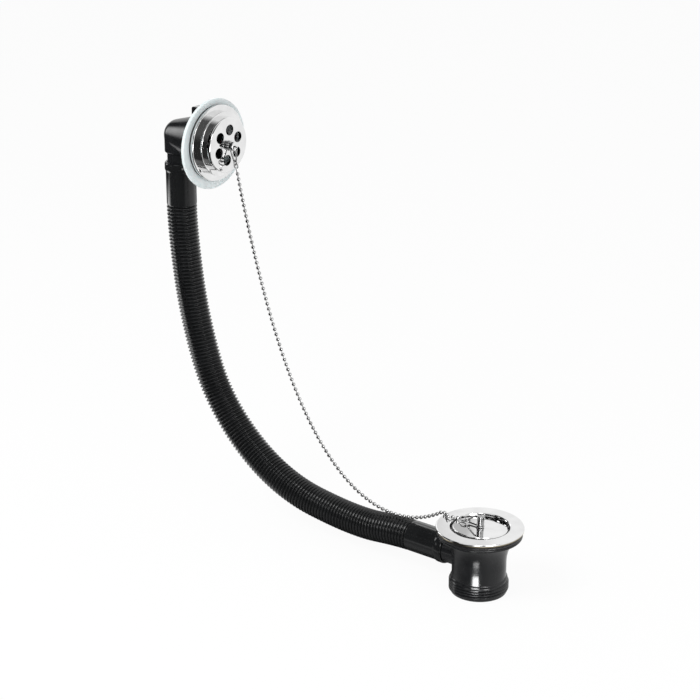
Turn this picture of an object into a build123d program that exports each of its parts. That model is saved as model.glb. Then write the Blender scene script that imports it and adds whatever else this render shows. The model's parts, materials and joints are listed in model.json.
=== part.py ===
"""Bath waste and overflow: a plug waste, an overflow head, the corrugated hose between them and a ball chain.

Millimetres, +Z up. The origin is on the waste axis, in the plane where the bath floor is clamped.
+X points from the overflow towards the waste, square to the end wall of the bath.
"""
from build123d import *

import os
from math import acos, asinh, atan2, cos, cosh, radians, sin, sinh, sqrt, tan

# Waste: chrome flange and plug seat
flange_radius = 35.0
rim_thickness = 1.8
rim_edge_fillet = 0.8
recess_radius = 23.6
recess_depth = 5.5
recess_edge_fillet = 1.0
cup_wall = 1.4
cup_floor_radius = 17.5
cup_floor_depth = 16.0
strainer_thickness = 1.5
strainer_hub_radius = 6.5
strainer_spoke_width = 3.2
strainer_spokes = 4

# Waste: seals on both sides of the bath floor
seal_radius = 34.0
seal_thickness = 1.8
seal_edge_fillet = 0.7
seal_clearance = 0.2

# Waste: moulded body
body_flange_thickness = 2.2
body_flange_fillet = 0.8
body_wall = 2.2
neck_radius = 21.7
neck_height = 25.5
flare_height = 22.4
flare_radius = 29.0
outlet_thread_radius = 23.9
outlet_thread_length = 11.5
outlet_edge_chamfer = 0.8
outlet_shoulder = 1.6
boss_radius = 6.5
boss_length = 12.0
boss_floor = 2.0
web_thickness = 2.2
web_height = 8.0
body_webs = 4

# Hose connections
inlet_drop = 24.4
inlet_boss_radius = 11.8
inlet_boss_reach = 29.1
spigot_radius = 11.0
spigot_bore_radius = 9.0
spigot_length = 33.0
spigot_chamfer = 0.8
cuff_clearance = 0.1

# Hose
hose_crest_radius = 12.8
hose_valley_radius = 11.6
hose_bore_radius = 9.4
hose_rib_pitch = 3.1
hose_sides = 12
hose_bore_step = 12.0
cuff_radius = 12.6
cuff_length = 37.5
cuff_floor = 1.6
cuff_bead_radius = 13.5
cuff_bead_length = 8.0
cuff_bead_fillet = 1.8

# Hang of the hose: shares of its run across and of its drop, from the upper cuff to the lower one
hose_hang = [(0.0, 0.906), (0.043, 0.582), (0.152, 0.266), (0.418, 0.028), (0.757, -0.024), (0.955, 0.0)]

# Overflow head: place of the bath wall clamp plane and of the hose behind it
overflow_reach = 272.0
overflow_height = 269.6
hose_setback = 38.8

# Overflow head: washers and chrome face
washer_radius = 37.6
washer_bore_radius = 20.0
washer_thickness = 3.0
washer_edge_fillet = 1.0
washer_sag = 1.5
gasket_radius = 31.0
gasket_bore_radius = 25.5
gasket_thickness = 2.2
face_flange_radius = 31.5
face_flange_thickness = 2.2
face_flange_fillet = 0.8
face_step_radius = 26.5
face_step_height = 5.1
face_step_fillet = 0.6
face_drum_radius = 22.9
face_drum_height = 5.6
face_drum_fillet = 1.6
face_wall = 1.8
face_hole_radius = 4.5
face_hole_circle_radius = 12.5
face_holes = 6
face_hole_turn = 21.8

# Overflow head: moulded elbow
elbow_flange_radius = 30.0
elbow_flange_thickness = 3.2
elbow_flange_fillet = 0.8
elbow_ball_radius = 13.2
elbow_drop_radius = 13.0
elbow_drop = 14.0
elbow_drop_fillet = 0.8
elbow_neck_gap = 8.5
funnel_radius = 23.0
funnel_mouth_radius = 18.5
funnel_ball_radius = 9.2
elbow_webs = 3
lug_width = 7.0
lug_height = 27.4
lug_length = 15.2
lug_fillet = 2.0

# Screws and their brass inserts
screw_radius = 3.0
screw_clearance = 0.1
screw_head_radius = 4.6
screw_head_height = 2.8
screw_slot_width = 1.2
screw_slot_depth = 1.4
insert_radius = 4.2
insert_length = 10.0
insert_thread_clearance = 0.05

# Chain stay: pillar of the overflow screw
stay_collar_radius = 4.6
stay_collar_thickness = 0.8
stay_neck_radius = 2.5
stay_neck_length = 2.0
pillar_radius = 3.75
pillar_length = 4.2
pillar_fillet = 0.5
pillar_eye_depth = 3.0

# Wire fittings
stirrup_wire_radius = 0.65
stirrup_bend_radius = 1.0
stirrup_eye_clearance = 0.15
stirrup_hang = 12.6
stirrup_foot = 2.2
ring_radius = 2.1
ring_wire_radius = 0.5
link_half_width = 2.8
link_half_height = 1.7
link_wire_radius = 0.45
wire_clearance = 0.05
ring_turn = 15.0
link_turn = 75.0

# Ball chain
bead_radius = 1.6
bead_shoulder = 0.75
bead_pitch = 4.4
bead_sides = 6
chain_wire_radius = 0.45
chain_wire_sides = 3
chain_end_gap = 0.2
chain_catenary = 75.1
rim_overhang = 1.6

# Plug
plug_sink = 3.0
plug_tilt = 4.5
plug_disc_radius = 22.0
plug_disc_thickness = 2.0
plug_disc_fillet = 0.7
plug_hub_radius = 14.0
plug_hub_height = 3.4
plug_lip_radius = 16.0
plug_lip_thickness = 1.4
plug_seal_radius = 23.2
plug_seal_clearance = 0.05
post_neck_radius = 1.8
post_neck_length = 2.0
post_radius = 2.9
post_length = 7.4
post_fillet = 0.5
post_eye_depth = 1.3
rivet_radius = 2.0
rivet_head_radius = 3.4
rivet_head_thickness = 1.2
plug_stirrup_shoulder = 5.0
plug_stirrup_reach = 11.4
plug_stirrup_height = 2.4
plug_ring_height = 2.5
plug_link_height = 2.4

# Loose end of the chain: plan places on the flange and the plug, and the share of the step down
chain_tail = [
    (-31.4, -0.8, 0.0),
    (-29.0, -4.8, 0.0),
    (-25.6, -5.0, 0.0),
    (-24.2, -2.6, 0.0),
    (-22.4, -0.2, 0.8),
    (-21.8, 0.6, 1.0),
]

# Heights worked out from the stack, measured from the clamp plane of the bath floor
flange_top = seal_thickness + rim_thickness
seat_top = flange_top - recess_depth
cup_floor_top = flange_top - cup_floor_depth
cup_floor_bottom = cup_floor_top - strainer_thickness
body_top = -seal_thickness
body_flange_bottom = body_top - body_flange_thickness
neck_top = body_flange_bottom - flare_height
outlet_end = neck_top - neck_height
boss_top = neck_top - body_wall
boss_bottom = boss_top - boss_length
plug_top = flange_top - plug_sink
post_start = plug_top + post_neck_length
post_end = post_start + post_length

# Plug seat, and the plug as it lies: seated on the far side and raised on the near side
seat_slope = (recess_radius - cup_floor_radius) / (seat_top - cup_floor_top)
seal_knee = seat_top - (recess_radius - plug_seal_clearance - plug_seal_radius) / seat_slope
plug_pivot = Pos(0, plug_seal_radius, seal_knee)
plug_place = plug_pivot * Rot(-plug_tilt, 0, 0) * plug_pivot.inverse()

# Places along the overflow axis, measured from the clamp plane of the bath wall
face_back = gasket_thickness
face_flange_front = face_back + face_flange_thickness
face_step_front = face_flange_front + face_step_height
face_front = face_step_front + face_drum_height
stay_neck_start = face_front + stay_collar_thickness
pillar_start = stay_neck_start + stay_neck_length
pillar_end = pillar_start + pillar_length
elbow_front = -washer_thickness
elbow_flange_back = elbow_front - elbow_flange_thickness
elbow_insert_front = elbow_front - 1.0
upper_cuff_top = elbow_drop + elbow_neck_gap

# Ends of the ribbed part of the hose
hose_x = -overflow_reach - hose_setback
hose_upper_end = (hose_x, overflow_height - upper_cuff_top - cuff_length)
hose_lower_end = (-inlet_boss_reach - cuff_length, -inlet_drop)

overflow_place = Pos(-overflow_reach, 0, overflow_height)


def profile(*corners):
    """A face in the XZ plane from corners (x, z) or (x, z, fillet radius)."""
    face = make_face(Polyline(*[(c[0], c[1]) for c in corners], close=True))
    for corner in corners:
        if len(corner) == 3:
            point = Vector(corner[0], corner[1])
            vertex = min(face.vertices(), key=lambda v: (Vector(v.X, v.Y) - point).length)
            face = fillet(vertex, corner[2])
    return Plane.XZ * face


def turned_about_z(*corners):
    return revolve(profile(*corners), Axis.Z)


def turned_about_x(*corners):
    return revolve(profile(*corners), Axis.X)


def rod(path, radius):
    """A round wire along a path."""
    return sweep(Plane(origin=path @ 0, z_dir=path % 0) * Circle(radius), path=path)


def bent_rod(points, radius, bend_radius):
    return rod(FilletPolyline(*points, radius=bend_radius), radius)


def radial_webs(count, reach, thickness, height, turn=0.0):
    """Upright webs about Z, centred on the XY plane."""
    web = Pos(reach / 2, 0, 0) * Box(reach, thickness, height)
    return Part() + [Rot(0, 0, turn + 360 / count * i) * web for i in range(count)]


def ring_of_points(frame, offset, radius, sides):
    """Corners of a regular polygon about a frame's axis, at an offset along that axis."""
    corner = Vector(radius, 0, offset)
    return [frame.from_local_coords(corner.rotate(Axis.Z, 360 / sides * i)) for i in range(sides)]


def flat_faces(a, b, c, d):
    """One flat face for four corners in a plane, two otherwise."""
    if abs((b - a).cross(c - a).dot(d - a)) < 1e-6:
        return [Face(Wire.make_polygon([a, b, c, d]))]
    return [Face(Wire.make_polygon([a, b, c])), Face(Wire.make_polygon([a, c, d]))]


def faceted(rings, looped=False):
    """A solid of flat facets from ring to ring, closed at its end rings or looped back to the first."""
    following = rings[1:] + rings[:1] if looped else rings[1:]
    faces = []
    for near, far in zip(rings, following):
        for i in range(len(near)):
            faces += flat_faces(near[i - 1], near[i], far[i], far[i - 1])
    if not looped:
        faces += [Face(Wire.make_polygon(rings[0])), Face(Wire.make_polygon(rings[-1]))]
    return Solid(Shell(faces))


# Waste

def seat_radius(z):
    """Radius of the conical plug seat at a height."""
    return recess_radius - (seat_top - z) * seat_slope


def make_waste_flange():
    cup_outer = recess_radius + cup_wall
    blank = turned_about_z(
        (screw_radius + screw_clearance, cup_floor_bottom),
        (cup_floor_radius + cup_wall, cup_floor_bottom, strainer_thickness / 2),
        (cup_outer, seat_top - cup_wall),
        (cup_outer, seal_thickness),
        (flange_radius, seal_thickness),
        (flange_radius, flange_top, rim_edge_fillet),
        (recess_radius, flange_top, recess_edge_fillet),
        (recess_radius, seat_top),
        (cup_floor_radius, cup_floor_top),
        (screw_radius + screw_clearance, cup_floor_top),
    )
    ring = Circle(cup_floor_radius - cup_wall) - Circle(strainer_hub_radius)
    spoke = Rectangle(2 * recess_radius, strainer_spoke_width)
    for i in range(strainer_spokes // 2):
        ring -= Rot(0, 0, 360 / strainer_spokes * i) * spoke
    return blank - extrude(Pos(0, 0, cup_floor_bottom) * ring, strainer_thickness)


def make_seal(bottom):
    bore = recess_radius + cup_wall + seal_clearance
    top = bottom + seal_thickness
    return turned_about_z(
        (bore, bottom),
        (seal_radius, bottom, seal_edge_fillet),
        (seal_radius, top, seal_edge_fillet),
        (bore, top),
    )


def make_centre_screw():
    head_top = cup_floor_top + screw_head_height
    shank_end = boss_bottom + boss_floor
    screw = turned_about_z(
        (0, shank_end),
        (screw_radius, shank_end),
        (screw_radius, cup_floor_top),
        (screw_head_radius, cup_floor_top),
        (screw_head_radius, head_top, screw_head_height / 3),
        (0, head_top),
    )
    slot = Box(2 * screw_head_radius, screw_slot_width, 2 * screw_slot_depth)
    return screw - Pos(0, 0, head_top) * slot


def make_insert():
    """A brass insert standing on the XY plane."""
    return extrude(Circle(insert_radius) - Circle(screw_radius + insert_thread_clearance), insert_length)


def body_section(inset):
    """Half section of the body, drawn in by an inset for its hollow."""
    neck = neck_radius - inset
    mouth = flare_radius - inset
    flare = TangentArc((neck, neck_top), (mouth, body_flange_bottom), tangent=(0, 1))
    return neck, mouth, flare


def make_waste_body():
    neck, mouth, flare = body_section(0)
    shoulder = outlet_end + outlet_thread_length
    outer = Polyline(
        (mouth, body_flange_bottom),
        (seal_radius, body_flange_bottom),
        (seal_radius, body_top),
        (0, body_top),
        (0, outlet_end),
        (outlet_thread_radius - outlet_edge_chamfer, outlet_end),
        (outlet_thread_radius, outlet_end + outlet_edge_chamfer),
        (outlet_thread_radius, shoulder),
        (neck, shoulder + outlet_shoulder),
        (neck, neck_top),
    )
    body = revolve(Plane.XZ * make_face(outer + flare), Axis.Z)
    rim = body.edges().filter_by(GeomType.CIRCLE).filter_by(lambda e: abs(e.radius - seal_radius) < 0.01)
    body = fillet(rim, body_flange_fillet)
    inlet = Plane(origin=(0, 0, -inlet_drop), x_dir=(0, 1, 0), z_dir=(-1, 0, 0))
    body += inlet * Cylinder(inlet_boss_radius, inlet_boss_reach, align=(Align.CENTER, Align.CENTER, Align.MIN))
    spigot_end = inlet_boss_reach + spigot_length
    spigot = Cylinder(spigot_radius, spigot_end, align=(Align.CENTER, Align.CENTER, Align.MIN))
    spigot = chamfer(spigot.edges().group_by(Axis.Z)[-1], spigot_chamfer)
    body += inlet * spigot
    neck, mouth, flare = body_section(body_wall)
    hollow = Polyline(
        (mouth, body_flange_bottom),
        (mouth, body_top),
        (0, body_top),
        (0, outlet_end),
        (neck, outlet_end),
        (neck, neck_top),
    )
    body -= revolve(Plane.XZ * make_face(hollow + flare), Axis.Z)
    body -= inlet * Cylinder(spigot_bore_radius, spigot_end, align=(Align.CENTER, Align.CENTER, Align.MIN))
    boss = Pos(0, 0, (boss_top + boss_bottom) / 2) * Cylinder(boss_radius, boss_length)
    web_middle = boss_bottom + web_height / 2
    webs = radial_webs(body_webs, neck_radius - body_wall / 2, web_thickness, web_height, turn=180 / body_webs)
    body += boss + Pos(0, 0, web_middle) * webs
    socket_floor = boss_bottom + boss_floor
    socket = Pos(0, 0, socket_floor) * extrude(Circle(insert_radius), insert_length)
    return body - socket


# Plug, as it would lie level in its seat

def make_plug_body():
    disc_bottom = plug_top - plug_disc_thickness
    hub_bottom = disc_bottom - plug_hub_height
    lip_bottom = hub_bottom - plug_lip_thickness
    return turned_about_z(
        (rivet_radius, lip_bottom),
        (plug_lip_radius, lip_bottom),
        (plug_lip_radius, hub_bottom),
        (plug_hub_radius, hub_bottom),
        (plug_hub_radius, disc_bottom),
        (plug_disc_radius, disc_bottom),
        (plug_disc_radius, plug_top, plug_disc_fillet),
        (rivet_radius, plug_top),
    )


def make_plug_seal():
    top = plug_top - plug_disc_thickness
    bottom = top - plug_hub_height
    return turned_about_z(
        (plug_hub_radius, bottom),
        (seat_radius(bottom) - plug_seal_clearance, bottom),
        (plug_seal_radius, seal_knee),
        (plug_seal_radius, top),
        (plug_hub_radius, top),
    )


def make_plug_post():
    lip_bottom = plug_top - plug_disc_thickness - plug_hub_height - plug_lip_thickness
    post = turned_about_z(
        (0, lip_bottom - rivet_head_thickness),
        (rivet_head_radius, lip_bottom - rivet_head_thickness, rivet_head_thickness / 2),
        (rivet_head_radius, lip_bottom),
        (rivet_radius, lip_bottom),
        (rivet_radius, plug_top),
        (post_neck_radius, plug_top),
        (post_neck_radius, post_start),
        (post_radius, post_start, post_fillet),
        (post_radius, post_end, post_fillet),
        (0, post_end),
    )
    eye = Cylinder(stirrup_wire_radius + stirrup_eye_clearance, 3 * post_radius)
    return post - Pos(0, 0, post_end - post_eye_depth) * Rot(0, 90, 0) * eye


def make_plug_stirrup():
    eye_radius = post_neck_radius + stirrup_wire_radius + stirrup_eye_clearance
    eye_height = plug_top + post_neck_length / 2
    top_height = post_end - post_eye_depth
    foot_height = plug_top + plug_stirrup_height
    legs = bent_rod(
        [
            (post_radius / 2, 0, top_height),
            (-plug_stirrup_shoulder, 0, top_height),
            (-plug_stirrup_reach, 0, foot_height + stirrup_foot / 2),
            (-plug_stirrup_reach, 0, foot_height - stirrup_foot / 2),
            (-eye_radius, 0, eye_height),
        ],
        stirrup_wire_radius,
        stirrup_bend_radius,
    )
    return legs + Pos(0, 0, eye_height) * Torus(eye_radius, stirrup_wire_radius)


def plug_ring_centre():
    """Centre of the ring that lies on the stirrup's lower leg, pulled away from the post."""
    room = ring_radius - ring_wire_radius - stirrup_wire_radius - wire_clearance
    return Vector(-plug_stirrup_reach - room, 0, plug_top + plug_ring_height)


def plug_link_centre():
    """Centre of the link that stands on the plug with its near end in the ring."""
    room = ring_radius - ring_wire_radius - link_wire_radius - wire_clearance
    return Vector(plug_ring_centre().X - room - link_half_width, 0, plug_top + plug_link_height)


def plug_link_end():
    """Where the chain comes to the plug link's far end, as the plug lies."""
    reach = link_half_width + link_wire_radius + chain_end_gap
    return (plug_place * Pos(plug_link_centre() - Vector(reach, 0, 0))).position


def plug_surface(y):
    """Height of the plug's top as it lies, at a place across it."""
    return (plug_place * Pos(0, y, plug_top)).position.Z


# Wire rings

def make_ring():
    """A round ring in the XY plane."""
    return Torus(ring_radius, ring_wire_radius)


def make_link():
    """A wide oval link in the XZ plane, wide along X."""
    straight = link_half_width - link_half_height
    path = Plane.XZ * SlotCenterToCenter(2 * straight, 2 * link_half_height).wire()
    return rod(path, link_wire_radius)


# Overflow head, about its own axis with the bath wall at zero

def make_overflow_washer():
    return turned_about_x(
        (-washer_thickness, washer_bore_radius),
        (-washer_thickness, washer_radius, washer_edge_fillet),
        (0, washer_radius, washer_edge_fillet),
        (0, washer_bore_radius),
    )


def make_face_gasket():
    return turned_about_x(
        (0, gasket_bore_radius),
        (0, gasket_radius),
        (gasket_thickness, gasket_radius),
        (gasket_thickness, gasket_bore_radius),
    )


def make_overflow_face():
    step_inside = face_step_radius - face_wall
    drum_inside = face_drum_radius - face_wall
    centre_hole = screw_radius + screw_clearance
    face = turned_about_x(
        (face_back, step_inside),
        (face_back, face_flange_radius),
        (face_flange_front, face_flange_radius, face_flange_fillet),
        (face_flange_front, face_step_radius),
        (face_step_front, face_step_radius, face_step_fillet),
        (face_step_front, face_drum_radius),
        (face_front, face_drum_radius, face_drum_fillet),
        (face_front, centre_hole),
        (face_front - face_wall, centre_hole),
        (face_front - face_wall, drum_inside),
        (face_step_front - face_wall, drum_inside),
        (face_step_front - face_wall, step_inside),
    )
    front = Plane(origin=(face_front, 0, 0), x_dir=(0, 1, 0), z_dir=(1, 0, 0))
    places = PolarLocations(face_hole_circle_radius, face_holes, start_angle=face_hole_turn)
    holes = Sketch() + [front * place * Circle(face_hole_radius) for place in places]
    return face - extrude(holes, -2 * face_wall)


def make_stay_screw():
    shank_end = elbow_insert_front - insert_length
    screw = turned_about_x(
        (shank_end, 0),
        (shank_end, screw_radius),
        (face_front, screw_radius),
        (face_front, stay_collar_radius),
        (stay_neck_start, stay_collar_radius),
        (stay_neck_start, stay_neck_radius),
        (pillar_start, stay_neck_radius),
        (pillar_start, pillar_radius, pillar_fillet),
        (pillar_end, pillar_radius, pillar_fillet),
        (pillar_end, 0),
    )
    eye = Plane(origin=(pillar_end, 0, 0), x_dir=(0, 1, 0), z_dir=(1, 0, 0))
    return screw - extrude(eye * Circle(stirrup_wire_radius + stirrup_eye_clearance), -pillar_eye_depth)


def stirrup_foot_place():
    """Middle of the stay stirrup's foot, where the ring hangs."""
    return pillar_end + stirrup_bend_radius - stirrup_foot / 2, -stirrup_hang


def make_stay_stirrup():
    eye_radius = stay_neck_radius + stirrup_wire_radius + stirrup_eye_clearance
    eye_x = (stay_neck_start + pillar_start) / 2
    front_x = pillar_end + stirrup_bend_radius + stirrup_wire_radius
    foot_x, foot_z = stirrup_foot_place()
    legs = bent_rod(
        [
            (pillar_end - pillar_eye_depth + stirrup_eye_clearance, 0, 0),
            (front_x, 0, 0),
            (foot_x + stirrup_foot / 2, 0, foot_z),
            (foot_x - stirrup_foot / 2, 0, foot_z),
            (eye_x, 0, -eye_radius),
        ],
        stirrup_wire_radius,
        stirrup_bend_radius,
    )
    eye = Pos(eye_x, 0, 0) * Rot(0, 90, 0) * Torus(eye_radius, stirrup_wire_radius)
    return legs + eye


def elbow_funnel(ball_radius, mouth_x, mouth_radius):
    """A ball at the corner above the hose and the cone that runs from it to a mouth."""
    run = mouth_x + hose_setback
    slope = acos(ball_radius / sqrt(run**2 + mouth_radius**2)) - atan2(run, mouth_radius)
    back = (-hose_setback - ball_radius, 0)
    joint = (-hose_setback - ball_radius * sin(slope), ball_radius * cos(slope))
    outline = TangentArc(back, joint, tangent=(0, 1))
    outline += Polyline(joint, (mouth_x, mouth_radius), (mouth_x, 0), back)
    return revolve(Plane.XZ * make_face(outline), Axis.X)


def hanging_rod(radius, top, length):
    """An upright rod below the corner, hung from a height."""
    return Pos(-hose_setback, 0, top) * Cylinder(radius, length, align=(Align.CENTER, Align.CENTER, Align.MAX))


def make_overflow_elbow():
    flange = turned_about_x(
        (elbow_flange_back, 0),
        (elbow_flange_back, elbow_flange_radius, elbow_flange_fillet),
        (elbow_front, elbow_flange_radius),
        (elbow_front, 0),
    )
    shell = flange + elbow_funnel(elbow_ball_radius, elbow_flange_back, funnel_radius)
    drop = hanging_rod(elbow_drop_radius, 0, elbow_drop)
    drop = fillet(drop.edges().group_by(Axis.Z)[0], elbow_drop_fillet)
    spigot = hanging_rod(spigot_radius, 0, upper_cuff_top + spigot_length)
    spigot = chamfer(spigot.edges().group_by(Axis.Z)[0], spigot_chamfer)
    lug = Pos(elbow_flange_back - lug_length / 2, 0, lug_height / 2) * Box(lug_length, lug_width, lug_height)
    lug = fillet(lug.edges().filter_by(Axis.Y).group_by(Axis.X)[0].sort_by(Axis.Z)[-1:], lug_fillet)
    elbow = shell + drop + spigot + lug
    elbow -= elbow_funnel(funnel_ball_radius, elbow_front, funnel_mouth_radius)
    elbow -= hanging_rod(spigot_bore_radius, 0, upper_cuff_top + spigot_length)
    facing = Plane(origin=(elbow_front, 0, 0), x_dir=(0, 1, 0), z_dir=(-1, 0, 0))
    boss = facing * Cylinder(boss_radius, boss_length, align=(Align.CENTER, Align.CENTER, Align.MIN))
    web_middle = Pos(0, 0, web_height / 2 + boss_floor)
    webs = radial_webs(elbow_webs, funnel_mouth_radius, web_thickness, web_height, turn=90)
    webs = facing * web_middle * webs & shell
    socket_depth = elbow_front - elbow_insert_front + insert_length
    return elbow + boss + webs - facing * extrude(Circle(insert_radius), socket_depth)


# Hose

def hose_path():
    """Ribbed part of the hose: straight runs and tangent arcs, from the upper cuff to the lower one."""
    across = hose_lower_end[0] - hose_upper_end[0]
    drop = hose_upper_end[1] - hose_lower_end[1]
    corners = [(hose_upper_end[0] + u * across, hose_lower_end[1] + w * drop) for u, w in hose_hang]
    points = [Vector(*p) for p in [hose_upper_end, *corners, hose_lower_end]]
    runs = [(b - a).length for a, b in zip(points, points[1:])]
    shares = [0.97] + [0.49] * (len(runs) - 2) + [0.97]
    radii = []
    for i in range(1, len(points) - 1):
        turn = (points[i] - points[i - 1]).get_angle(points[i + 1] - points[i])
        reach = min(runs[i - 1] * shares[i - 1], runs[i] * shares[i])
        radii.append(reach / tan(radians(turn / 2)))
    return Plane.XZ * FilletPolyline(*points, radius=radii)


def cuff():
    """Plain cuff with its rolled bead at the top, standing on the XY plane."""
    tube = turned_about_z(
        (spigot_bore_radius, 0),
        (cuff_radius, 0, cuff_floor / 2),
        (cuff_radius, cuff_length - cuff_bead_length),
        (cuff_bead_radius, cuff_length - cuff_bead_length + cuff_bead_fillet),
        (cuff_bead_radius, cuff_length, cuff_bead_fillet),
        (spigot_bore_radius, cuff_length),
    )
    return tube - Pos(0, 0, cuff_floor) * extrude(Circle(spigot_radius + cuff_clearance), cuff_length)


def make_overflow_hose():
    path = hose_path()

    def section(share, radius):
        across = Plane(origin=path @ share, x_dir=(0, 1, 0), z_dir=path % share)
        return ring_of_points(across, 0, radius, hose_sides)

    half_ribs = 2 * round(path.length / hose_rib_pitch)
    radii = [hose_valley_radius, hose_crest_radius]
    outside = [section(i / half_ribs, radii[i % 2]) for i in range(half_ribs + 1)]
    steps = round(path.length / hose_bore_step)
    inside = [section(i / steps, hose_bore_radius) for i in range(steps, -1, -1)]
    upper = Pos(hose_upper_end[0], 0, hose_upper_end[1])
    lower = Pos(hose_lower_end[0], 0, hose_lower_end[1]) * Rot(0, 90, 0)
    return Part() + faceted(outside + inside, looped=True) + upper * cuff() + lower * cuff()


# Chain

def chain_line():
    """Catenary from the stay stirrup's foot to the rim of the flange: its lowest place and end lengths."""
    foot_x, foot_z = stirrup_foot_place()
    top = Vector(foot_x - overflow_reach, foot_z + overflow_height)
    rim = Vector(-flange_radius - rim_overhang, flange_top + bead_radius)
    span = rim.X - top.X
    rise = rim.Y - top.Y
    a = chain_catenary
    low_x = (top.X + rim.X) / 2 - a * asinh(rise / (2 * a * sinh(span / (2 * a))))
    low_z = rim.Y - a * (cosh((rim.X - low_x) / a) - 1)
    return low_x, low_z, a * sinh((top.X - low_x) / a), a * sinh((rim.X - low_x) / a)


def chain_place(length):
    """Place and direction on the catenary at a length from its lowest point."""
    low_x, low_z, _, _ = chain_line()
    a = chain_catenary
    x = low_x + a * asinh(length / a)
    slope = length / a
    return Vector(x, 0, low_z + a * (cosh((x - low_x) / a) - 1)), Vector(1, 0, slope).normalized()


def tail_path():
    """The chain's loose end, from the rim of the flange over the step to the plug."""
    height = flange_top + bead_radius
    points = [(-flange_radius - rim_overhang, 0, height)]
    for x, y, share in chain_tail:
        step = flange_top - plug_surface(y)
        points.append((x, y, height - step * share))
    return Polyline(*points)


def chain_points():
    """Centres of all the beads, one pitch apart, between the places where the chain joins its end links."""
    _, _, start, end = chain_line()
    length = start + stay_link_end()
    points = []
    while length < end:
        points.append(chain_place(length)[0])
        length += bead_pitch
    tail = tail_path()
    along = length - end
    while along < tail.length:
        points.append(tail @ (along / tail.length))
        along += bead_pitch
    return [*points, plug_link_end()]


def chain_frames():
    """A frame for each place on the chain, its Z axis along the chain and its X axis level."""
    points = chain_points()
    frames = []
    for before, point, after in zip(points[:1] + points, points, points[1:] + points[-1:]):
        along = after - before
        frames.append(Plane(origin=point, x_dir=Vector(0, 0, 1).cross(along), z_dir=along))
    return frames


def stay_ring_drop():
    """Length from the stirrup's foot to the ring's centre."""
    return ring_radius - stirrup_wire_radius - ring_wire_radius - wire_clearance


def stay_link_drop():
    """Length from the stirrup's foot to the link's centre."""
    room = ring_radius - ring_wire_radius - link_wire_radius - wire_clearance
    return stay_ring_drop() + room + link_half_height


def stay_link_end():
    """Length from the stirrup's foot to the lower side of the link's wire."""
    return stay_link_drop() + link_half_height + link_wire_radius


def hung(piece, drop, turn):
    """Hangs a ring or link on the chain's line, turned about that line."""
    _, _, start, _ = chain_line()
    place, direction = chain_place(start + drop)
    frame = Plane(origin=place, x_dir=(0, 1, 0), z_dir=-direction)
    return frame.location * Rot(0, 0, turn) * piece


def bead_pole():
    """Distance from a bead's centre to the flat where its wire comes out."""
    return sqrt(bead_radius**2 - chain_wire_radius**2)


def make_chain_beads():
    pole = bead_pole()
    waist = sqrt(bead_radius**2 - bead_shoulder**2)
    tip = chain_wire_radius
    outline = [(-pole, tip), (-bead_shoulder, waist), (bead_shoulder, waist), (pole, tip)]
    bead = faceted([ring_of_points(Plane.XY, offset, radius, bead_sides) for offset, radius in outline])
    return [frame.location * bead for frame in chain_frames()[1:-1]]


def make_chain_links():
    """Short wires: from the stay link to the first bead, from bead to bead and on to the plug link."""
    frames = chain_frames()
    poles = [0] + [bead_pole()] * (len(frames) - 2) + [0]
    ends = list(zip(frames, poles))
    wires = []
    for (near, near_pole), (far, far_pole) in zip(ends, ends[1:]):
        near_end = ring_of_points(near, near_pole, chain_wire_radius, chain_wire_sides)
        far_end = ring_of_points(far, -far_pole, chain_wire_radius, chain_wire_sides)
        wires.append(faceted([near_end, far_end]))
    return wires


def save(node, *solids):
    export_step(Compound(children=list(solids)) if len(solids) > 1 else solids[0], f"parts/{node}.step")


os.makedirs("parts", exist_ok=True)

save("waste_flange", make_waste_flange())
save("upper_seal", make_seal(0))
save("lower_seal", make_seal(body_top))
save("centre_screw", make_centre_screw())
save("waste_body", make_waste_body())
save("body_insert", Pos(0, 0, boss_bottom + boss_floor) * make_insert())
save("plug_body", plug_place * make_plug_body())
save("plug_seal", plug_place * make_plug_seal())
save("plug_post", plug_place * make_plug_post())
save("plug_stirrup", plug_place * make_plug_stirrup())
save("plug_ring", plug_place * Pos(plug_ring_centre()) * make_ring())
save("plug_link", plug_place * Pos(plug_link_centre()) * make_link())
save("overflow_washer", overflow_place * Pos(0, 0, -washer_sag) * make_overflow_washer())
save("face_gasket", overflow_place * make_face_gasket())
save("overflow_face", overflow_place * make_overflow_face())
save("stay_screw", overflow_place * make_stay_screw())
save("stay_stirrup", overflow_place * make_stay_stirrup())
save("overflow_elbow", overflow_place * make_overflow_elbow())
save("elbow_insert", overflow_place * Pos(elbow_insert_front, 0, 0) * Rot(0, -90, 0) * make_insert())
save("stay_ring", hung(Rot(90, 0, 0) * make_ring(), stay_ring_drop(), ring_turn))
save("stay_link", hung(make_link(), stay_link_drop(), link_turn))
save("overflow_hose", make_overflow_hose())
save("chain_beads", *make_chain_beads())
save("chain_links", *make_chain_links())
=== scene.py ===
import json
import math

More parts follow.
